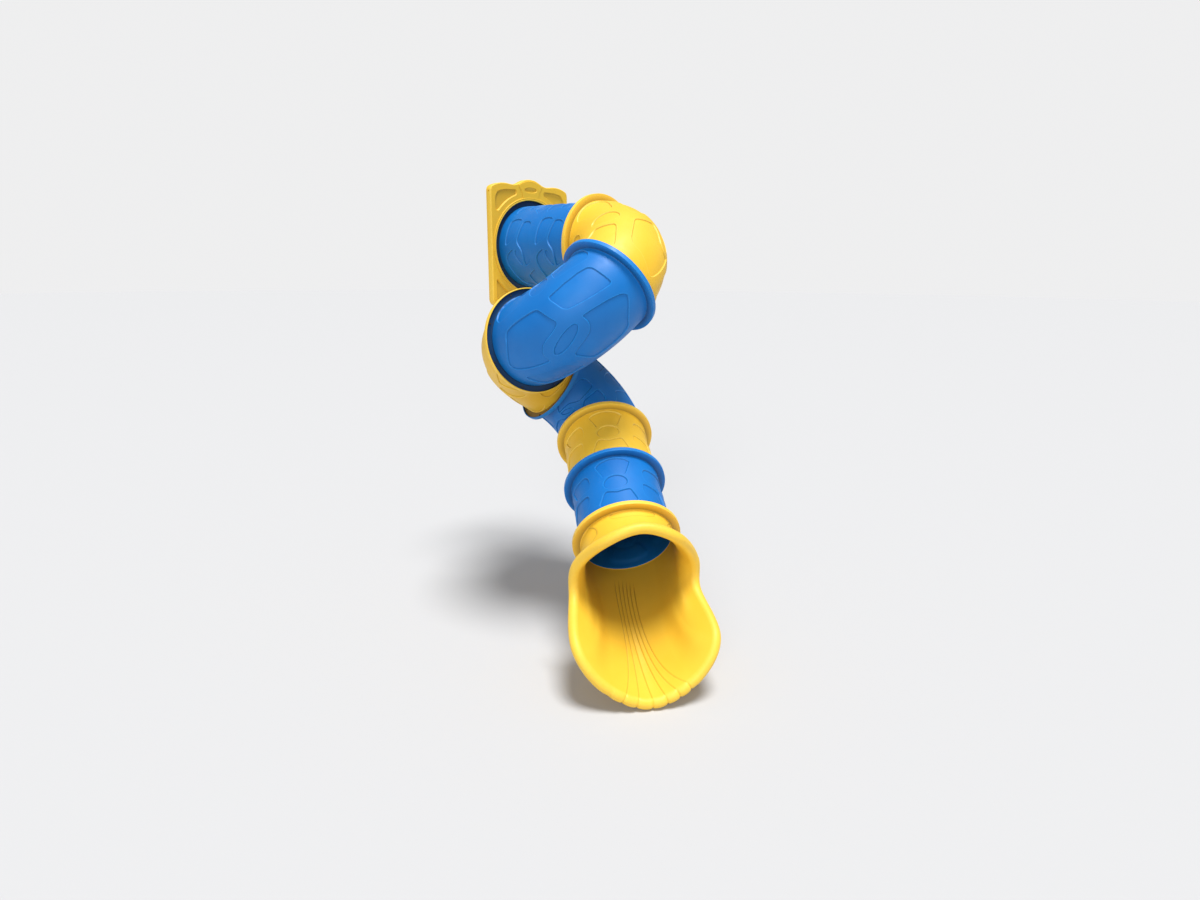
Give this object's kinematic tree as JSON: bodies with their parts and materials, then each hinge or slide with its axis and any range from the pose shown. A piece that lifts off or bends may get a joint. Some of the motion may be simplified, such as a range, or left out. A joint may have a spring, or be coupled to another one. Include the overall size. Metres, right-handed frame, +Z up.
{
  "type": "spiral tube slide",
  "caption": "Enclosed playground slide: a square entrance panel, flanged tubes and quarter bends winding down one turn, and an open scoop exit.",
  "frame": {"origin": "on the flat back of the entrance panel, in the middle of its lower edge strip, 60 mm above the panel's lower edge", "axes": "+Z up; the panel's back faces +Y, towards the deck, and the slide leaves the panel along -Y; +X to the right of someone who faces the panel from outside"},
  "size_m": [2.1063, 3.0712, 3.9004],
  "materials": {
    "yellow_plastic": "moulded polyethylene, satin gloss",
    "blue_plastic": "moulded polyethylene, satin gloss",
    "zinc_plated_steel": "zinc-plated bolts at the joints, in the visual model only"
  },
  "bodies": {
    "root": {"entrance_panel": "yellow_plastic", "top_tube": "blue_plastic", "bend_1": "yellow_plastic", "bend_2": "blue_plastic", "bend_3": "yellow_plastic", "bend_4": "blue_plastic", "lower_tube_1": "yellow_plastic", "lower_tube_2": "blue_plastic", "exit_chute": "yellow_plastic"}
  },
  "joints": []
}
